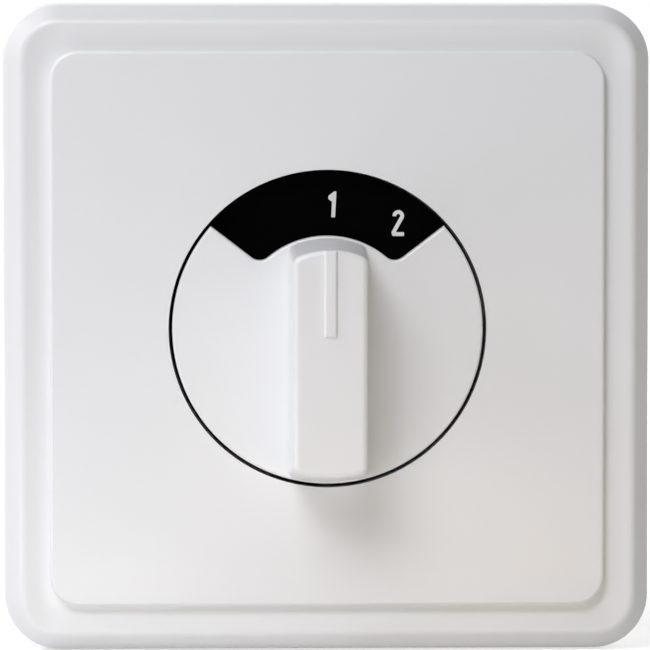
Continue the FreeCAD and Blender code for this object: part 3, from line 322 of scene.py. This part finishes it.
def flat_outline(points, radius):
    """A flat face from its corners in x and y, rounded by a radius."""
    bm = bmesh.new()
    bm.faces.new([bm.verts.new((x, y, 0.0)) for x, y in points])
    round_corners(bm, bm.verts[:], radius)
    return bm


def round_corners(bm, corners, radius):
    """Round corners of a flat face."""
    bmesh.ops.bevel(
        bm, geom=corners, offset=radius, affect="VERTICES", segments=3, profile=0.5, material=-1
    )


def numeral_one(height, stroke):
    """A 1 with its foot at the origin: a stem that leans a little, and a short flag."""
    half = stroke / 2
    lean = 0.05 * height
    flag = -2.5 * half
    flag_top, flag_bottom = 0.82 * height, 0.7 * height
    flag_root = 0.6
    return flat_outline(
        (
            (-half, 0.0),
            (half, 0.0),
            (half + lean, height),
            (lean - 0.1 * half, height),
            (flag, flag_top),
            (flag, flag_bottom),
            (-half + flag_root * lean, flag_root * height),
        ),
        0.18 * stroke,
    )


def extend(bm, edge, one, other):
    """Pull a flat stroke's end edge out to two new places, and give back the new end."""
    grown = bmesh.ops.extrude_edge_only(bm, edges=[edge])["geom"]
    fresh = next(piece for piece in grown if isinstance(piece, bmesh.types.BMEdge))
    first, second = sorted(fresh.verts, key=lambda v: v.co.x)
    first.co.xy = one
    second.co.xy = other
    return fresh


def numeral_two(height, stroke):
    """A narrow 2 with the middle of its foot at the origin: a hook, a straight diagonal and a base."""
    half = stroke / 2
    bow = 0.98 * stroke
    foot = 1.5 * stroke
    crown = height - half - bow
    turn = math.radians(29)
    bm = bmesh.new()
    tip = [bm.verts.new((-bow + side * half, crown - 0.1 * bow, 0.0)) for side in (-1, 1)]
    end = bm.edges.new(tip)
    bow_end = bmesh.ops.spin(
        bm,
        geom=[end, *tip],
        cent=(0.0, crown, 0.0),
        axis=(0.0, 0.0, 1.0),
        angle=-(math.pi + turn),
        steps=20,
    )["geom_last"]
    last = next(piece for piece in bow_end if isinstance(piece, bmesh.types.BMEdge))
    fall = Vector((-math.sin(turn), -math.cos(turn)))
    feet = []
    for corner in sorted(last.verts, key=lambda v: v.co.x):
        feet.append(corner.co.xy + fall * ((corner.co.y - stroke) / -fall.y))
    knee = extend(bm, last, *feet)
    sole = extend(bm, knee, (-foot, 0.0), (feet[1].x, 0.0))
    heel = next(v for v in sole.verts if v.co.x > -stroke)
    side = next(edge for edge in heel.link_edges if edge is not sole)
    grown = bmesh.ops.extrude_edge_only(bm, edges=[side])["geom"]
    for corner in grown:
        if isinstance(corner, bmesh.types.BMVert):
            corner.co.x = foot
    round_corners(bm, [v for v in bm.verts if len(v.link_edges) == 2], 0.2 * stroke)
    return bm


def upward_arrow(height, stroke):
    """An arrow up from the origin."""
    half = stroke / 2
    head = 0.42 * height
    barb = 0.75 * head
    return flat_outline(
        (
            (-half, 0.0),
            (half, 0.0),
            (half, height - head),
            (barb, height - head),
            (0.0, height),
            (-barb, height - head),
            (-half, height - head),
        ),
        0.15 * stroke,
    )


def finished_mesh(name, bm):
    """Turn a bmesh into a mesh and let it go."""
    mesh = bpy.data.meshes.new(name)
    bm.to_mesh(mesh)
    bm.free()
    return mesh


def raised_mesh(name, bm, rise, place):
    """Give a flat outline a thickness and put it in its place as a mesh."""
    grown = bmesh.ops.extrude_face_region(bm, geom=bm.faces[:])["geom"]
    top = [piece for piece in grown if isinstance(piece, bmesh.types.BMVert)]
    bmesh.ops.translate(bm, verts=top, vec=(0.0, 0.0, rise))
    bmesh.ops.recalc_face_normals(bm, faces=bm.faces[:])
    bmesh.ops.transform(bm, matrix=place, verts=bm.verts[:])
    return finished_mesh(name, bm)


def add_bar(bm, low, high, edge):
    """Add a straight bar between two corners, with its edges bevelled."""
    low, high = Vector(low), Vector(high)
    place = Matrix.Translation((low + high) / 2) @ Matrix.Diagonal((*(high - low), 1.0))
    made = bmesh.ops.create_cube(bm, size=1.0, matrix=place)
    edges = {rim for corner in made["verts"] for rim in corner.link_edges}
    bmesh.ops.bevel(
        bm, geom=list(edges), offset=edge, affect="EDGES", segments=2, profile=0.5, material=-1
    )


class FANSWITCH_OT_print_numerals(bpy.types.Operator):
    """Print the two speeds on the disc under the window"""

    bl_idname = "fan_switch.print_numerals"
    bl_label = "Print Numerals"

    def execute(self, context):
        look = context.scene.fan_switch_finishes
        sizes = context.scene.fan_switch_numerals
        ink = Finish("numeral_ink", look.numeral_white, roughness=0.45)
        ink.tint(ink.noise(size=0.0006), dark=(0.95, 0.95, 0.95), light=(1.0, 1.0, 1.0))
        ink.gloss(ink.noise(size=0.0004), change=0.05)
        ink.relief(ink.noise(size=0.0002), depth=0.000003)
        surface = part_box("scale_disc")[0].y
        for name, shape, across, up in (
            ("numeral_one", numeral_one, sizes.one_across, sizes.one_up),
            ("numeral_two", numeral_two, sizes.two_across, sizes.two_up),
        ):
            place = Matrix.Translation((across, surface, up)) @ FACING_ROOM
            mesh = raised_mesh(name, shape(sizes.height, sizes.stroke), sizes.ink, place)
            add_piece(name, mesh, "mount", ink.material)
        return {"FINISHED"}


class FANSWITCH_OT_terminal_marks(bpy.types.Operator):
    """Raise a mark in the recess over each wire entry at the back"""

    bl_idname = "fan_switch.terminal_marks"
    bl_label = "Terminal Marks"

    def execute(self, context):
        sizes = context.scene.fan_switch_numerals
        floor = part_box("housing_base")[1].y - sizes.mark_recess
        plastic = frame["nodes"]["housing_base"].data.materials[0]
        for terminal, shape in (("one", numeral_one), ("two", numeral_two), ("common", upward_arrow)):
            name = f"mark_{terminal}"
            entry = frame_mount(f"wire_{terminal}")
            place = Matrix.Translation((entry.x, floor, entry.z + sizes.mark_above)) @ FACING_REAR
            outline = shape(sizes.mark_height, sizes.mark_stroke)
            mesh = raised_mesh(name, outline, sizes.mark_rise, place)
            add_piece(name, mesh, "mount", plastic)
        return {"FINISHED"}


class FANSWITCH_OT_insert_finish(bpy.types.Operator):
    """Give the insert and the detent rotor their moulded plastics"""

    bl_idname = "fan_switch.insert_finish"
    bl_label = "Insert Finish"

    def execute(self, context):
        look = context.scene.fan_switch_finishes
        grey = Finish("insert_plastic", look.insert_grey, roughness=0.55)
        spark = grey.noise(size=0.00035, detail=3.0)
        grey.tint(grey.noise(size=0.012, detail=4.0), dark=(0.93, 0.93, 0.94), light=(1.03, 1.03, 1.01))
        grey.gloss(grey.noise(size=0.003, detail=3.0), change=0.06)
        grey.relief(spark, depth=0.000015, edge=0.0002)
        grey.wear("housing_cover", "housing_base")
        black = Finish("rotor_plastic", look.rotor_black, roughness=0.4)
        black.tint(black.noise(size=0.006, detail=3.0), dark=(0.85, 0.85, 0.85), light=(1.1, 1.1, 1.1))
        black.gloss(black.noise(size=0.0015), change=0.06)
        black.relief(black.noise(size=0.0004), depth=0.000006, edge=0.0002)
        black.wear("detent_rotor")
        return {"FINISHED"}


class FANSWITCH_OT_insert_detail(bpy.types.Operator):
    """Add the ribs and the strip gauge on the insert's sides, and the arrow on the ring"""

    bl_idname = "fan_switch.insert_detail"
    bl_label = "Insert Detail"

    def execute(self, context):
        sizes = context.scene.fan_switch_insert
        low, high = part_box("housing_base")
        front, rear = low.y + sizes.rib_margin, high.y - sizes.rib_margin
        plastic = frame["nodes"]["housing_base"].data.materials[0]
        ribs = finished_mesh("side_ribs", self.ribs(sizes, (low.x, high.x), front, rear))
        add_piece("side_ribs", ribs, "mount", plastic)
        gauge = finished_mesh("strip_gauge", self.strip_gauge(sizes, high.z, rear))
        add_piece("strip_gauge", gauge, "mount", plastic)

        zinc = frame["nodes"]["support_ring"].data.materials[0]
        ring_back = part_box("support_ring")[1].y
        place = Matrix.Translation((sizes.arrow_across, ring_back, sizes.arrow_up)) @ FACING_REAR
        arrow = upward_arrow(sizes.arrow_height, sizes.arrow_stroke)
        mesh = raised_mesh("ring_arrow", arrow, sizes.arrow_rise, place)
        add_piece("ring_arrow", mesh, "mount", zinc)
        return {"FINISHED"}

    def ribs(self, sizes, sides, front, rear):
        """A row of ribs on the left and right side, rooted in the plastic."""
        bm = bmesh.new()
        half = sizes.rib_width / 2
        for face in sides:
            inner, outer = face - sizes.rib_rise, face + sizes.rib_rise
            for step in range(sizes.rib_count):
                middle = (step - (sizes.rib_count - 1) / 2) * sizes.rib_pitch
                add_bar(bm, (inner, front, middle - half), (outer, rear, middle + half), half / 2)
        return bm

    def strip_gauge(self, sizes, top, rear):
        """A line as long as the bare wire, with a tick at each end."""
        bm = bmesh.new()
        half = sizes.gauge_line / 2
        tick = 4 * half
        ends = (rear - sizes.gauge_length, rear)
        base, crest = top - sizes.rib_rise, top + sizes.rib_rise
        add_bar(bm, (-half, ends[0], base), (half, ends[1], crest), half / 2)
        for place in ends:
            add_bar(bm, (-tick, place - half, base), (tick, place + half, crest), half / 2)
        return bm


class FANSWITCH_OT_metal_finish(bpy.types.Operator):
    """Give the ring, spindle, screws, springs and contacts their metals"""

    bl_idname = "fan_switch.metal_finish"
    bl_label = "Metal Finish"

    def execute(self, context):
        look = context.scene.fan_switch_finishes
        zinc = Finish("zinc_steel", look.zinc, roughness=0.34, metallic=1.0)
        rolled = zinc.noise(size=0.0004, detail=3.0, place=zinc.stretched((0.04, 1.0, 1.0)))
        zinc.tint(zinc.noise(size=0.009, detail=4.0), dark=(0.88, 0.92, 1.0), light=(1.06, 1.03, 0.96))
        zinc.gloss(zinc.cells(size=0.0022), change=0.07)
        zinc.relief(rolled, depth=0.000004, edge=0.00015)
        zinc.wear("support_ring", "fixing_nut")

        turned = Finish("turned_steel", look.steel, roughness=0.26, metallic=1.0)
        rings = turned.noise(size=0.0002, detail=2.0, place=turned.stretched((0.02, 1.0, 0.02)))
        turned.tint(turned.noise(size=0.003, detail=4.0), dark=(0.9, 0.9, 0.92), light=(1.05, 1.04, 1.02))
        turned.gloss(rings, change=0.08)
        turned.relief(rings, depth=0.000004, edge=0.00015)
        turned.wear("spindle", *nodes_named("housing_screw", "terminal_screw"))

        spring = Finish("spring_steel", look.spring, roughness=0.24, metallic=1.0)
        drawn = spring.noise(size=0.0003, detail=2.0, place=spring.stretched((1.0, 1.0, 0.03)))
        spring.tint(spring.noise(size=0.004, detail=3.0), dark=(0.88, 0.92, 1.0), light=(1.04, 1.02, 1.0))
        spring.gloss(drawn, change=0.07)
        spring.relief(drawn, depth=0.000003, edge=0.0001)
        spring.wear("knob_spring", "lock_washer", "thrust_washer", *nodes_named("detent_spring"))

        brass = Finish("brass", look.brass, roughness=0.28, metallic=1.0)
        sawn = brass.noise(size=0.00025, detail=3.0, place=brass.stretched((1.0, 0.05, 1.0)))
        brass.tint(brass.noise(size=0.0025, detail=4.0), dark=(0.86, 0.84, 0.8), light=(1.04, 1.03, 1.0))
        brass.gloss(sawn, change=0.09)
        brass.relief(sawn, depth=0.000004, edge=0.00015)
        brass.wear(*nodes_named("terminal_block", "contact_strip"))

        bronze = Finish("bronze", look.bronze, roughness=0.27, metallic=1.0)
        stamped = bronze.noise(size=0.0003, detail=3.0, place=bronze.stretched((1.0, 1.0, 0.05)))
        bronze.tint(bronze.noise(size=0.003, detail=4.0), dark=(0.85, 0.82, 0.8), light=(1.05, 1.02, 1.0))
        bronze.gloss(stamped, change=0.08)
        bronze.relief(stamped, depth=0.000003, edge=0.0001)
        bronze.wear("contact_wiper")
        return {"FINISHED"}


def add_lamp(name, place, width, height, power, colour):
    """A broad soft lamp at place, turned towards the origin."""
    lamp = bpy.data.lights.new(name, "AREA")
    lamp.shape = "RECTANGLE"
    lamp.size = width
    lamp.size_y = height
    lamp.energy = power
    lamp.color = colour
    holder = bpy.data.objects.new(name, lamp)
    holder.location = place
    holder.rotation_mode = "QUATERNION"
    holder.rotation_quaternion = (-Vector(place)).to_track_quat("-Z", "Y")
    holder.visible_camera = False
    bpy.context.scene.collection.objects.link(holder)


def white_for_eye(nodes, links):
    """1 where the ray comes from the camera, a reflection or a clear body, else 0."""
    path = nodes.new("ShaderNodeLightPath")
    seen = path.outputs["Is Camera Ray"]
    for ray in ("Is Glossy Ray", "Is Transmission Ray"):
        either = nodes.new("ShaderNodeMath")
        either.operation = "MAXIMUM"
        links.new(seen, either.inputs[0])
        links.new(path.outputs[ray], either.inputs[1])
        seen = either.outputs["Value"]
    return seen


class FANSWITCH_OT_build_stage(bpy.types.Operator):
    """Set the floor, the white room, the lamps and the camera"""

    bl_idname = "fan_switch.build_stage"
    bl_label = "Build Stage"

    def execute(self, context):
        scene = context.scene
        studio = scene.fan_switch_studio
        low, high = CAD_BOX
        self.white_room(scene, studio)
        self.floor(studio, low.z)
        for name, place, size, power, colour in LAMPS:
            add_lamp(f"{name}_lamp", place, *size, power, colour)
        self.camera(scene, studio, Vector((0, 0, (low.z + high.z) / 2)))
        scene.view_settings.view_transform = "Standard"
        return {"FINISHED"}

    def white_room(self, scene, studio):
        """All white to the eye, with little light of its own."""
        world = bpy.data.worlds.new("white_room")
        world.use_nodes = True
        nodes, links = world.node_tree.nodes, world.node_tree.links
        level = nodes.new("ShaderNodeMapRange")
        level.inputs["To Min"].default_value = studio.room_light
        level.inputs["To Max"].default_value = 1.0
        links.new(white_for_eye(nodes, links), level.inputs["Value"])
        background = nodes["Background"]
        background.inputs["Color"].default_value = (1.0, 1.0, 1.0, 1.0)
        links.new(level.outputs["Result"], background.inputs["Strength"])
        scene.world = world

    def floor(self, studio, height):
        """A pale floor that takes the shadow and turns white further off."""
        bm = bmesh.new()
        bmesh.ops.create_grid(bm, x_segments=1, y_segments=1, size=studio.floor_half)
        bmesh.ops.translate(bm, verts=bm.verts[:], vec=(0.0, 0.0, height))
        mesh = finished_mesh("floor", bm)
        pale = Finish("floor_pale", (0.9, 0.9, 0.9), roughness=0.9, specular=0.1)
        pale.tint(pale.noise(size=0.2), dark=(0.99, 0.99, 0.99), light=(1.0, 1.0, 1.0))
        away = pale.nodes.new("ShaderNodeVectorMath")
        away.operation = "LENGTH"
        pale.links.new(pale.place, away.inputs[0])
        level = pale.spread(
            away.outputs["Value"], studio.floor_glow, 1.0, start=studio.floor_near, stop=studio.floor_far
        )
        glow = pale.nodes.new("ShaderNodeMath")
        glow.operation = "MULTIPLY"
        pale.links.new(level, glow.inputs[0])
        pale.links.new(white_for_eye(pale.nodes, pale.links), glow.inputs[1])
        white = pale.nodes.new("ShaderNodeEmission")
        pale.links.new(glow.outputs["Value"], white.inputs["Strength"])
        both = pale.nodes.new("ShaderNodeAddShader")
        pale.links.new(pale.shader.outputs["BSDF"], both.inputs[0])
        pale.links.new(white.outputs["Emission"], both.inputs[1])
        pale.links.new(both.outputs["Shader"], pale.nodes["Material Output"].inputs["Surface"])
        mesh.materials.append(pale.material)
        floor = bpy.data.objects.new("floor", mesh)
        bpy.context.scene.collection.objects.link(floor)

    def camera(self, scene, studio, aim):
        """A long lens a little left of the axis and above it."""
        camera = bpy.data.cameras.new("camera")
        camera.lens = camera.sensor_width * studio.distance / studio.view_width
        camera.clip_start = 0.01
        holder = bpy.data.objects.new("camera", camera)
        across = math.sin(studio.camera_left) * math.cos(studio.camera_up)
        away = math.cos(studio.camera_left) * math.cos(studio.camera_up)
        back = Vector((-across, -away, math.sin(studio.camera_up)))
        holder.location = aim + back * studio.distance
        holder.rotation_mode = "QUATERNION"
        holder.rotation_quaternion = (-back).to_track_quat("-Z", "Y")
        scene.collection.objects.link(holder)
        scene.camera = holder


class FANSWITCH_PT_panel(bpy.types.Panel):
    """Steps and settings of the fan switch"""

    bl_label = "Fan Switch"
    bl_idname = "FANSWITCH_PT_panel"
    bl_space_type = "VIEW_3D"
    bl_region_type = "UI"
    bl_category = "Fan Switch"

    def draw(self, context):
        for operator in OPERATORS:
            self.layout.operator(operator.bl_idname)
        for name in GROUPS:
            group = getattr(context.scene, name)
            box = self.layout.box()
            for setting in group.__annotations__:
                box.prop(group, setting)


GROUPS = {
    "fan_switch_finishes": FanSwitchFinishes,
    "fan_switch_numerals": FanSwitchNumerals,
    "fan_switch_insert": FanSwitchInsert,
    "fan_switch_studio": FanSwitchStudio,
}
OPERATORS = (
    FANSWITCH_OT_cover_finish,
    FANSWITCH_OT_scale_finish,
    FANSWITCH_OT_print_numerals,
    FANSWITCH_OT_insert_finish,
    FANSWITCH_OT_terminal_marks,
    FANSWITCH_OT_metal_finish,
    FANSWITCH_OT_insert_detail,
    FANSWITCH_OT_build_stage,
)


def register():
    for kind in (*GROUPS.values(), *OPERATORS, FANSWITCH_PT_panel):
        bpy.utils.register_class(kind)
    for name, group in GROUPS.items():
        setattr(bpy.types.Scene, name, PointerProperty(type=group))


def unregister():
    for name in GROUPS:
        delattr(bpy.types.Scene, name)
    for kind in reversed((*GROUPS.values(), *OPERATORS, FANSWITCH_PT_panel)):
        bpy.utils.unregister_class(kind)


def main():
    register()
    bpy.ops.fan_switch.cover_finish()
    bpy.ops.fan_switch.scale_finish()
    bpy.ops.fan_switch.print_numerals()
    bpy.ops.fan_switch.insert_finish()
    bpy.ops.fan_switch.terminal_marks()
    bpy.ops.fan_switch.metal_finish()
    bpy.ops.fan_switch.insert_detail()
    bpy.ops.fan_switch.build_stage()


if __name__ == "__main__":
    main()
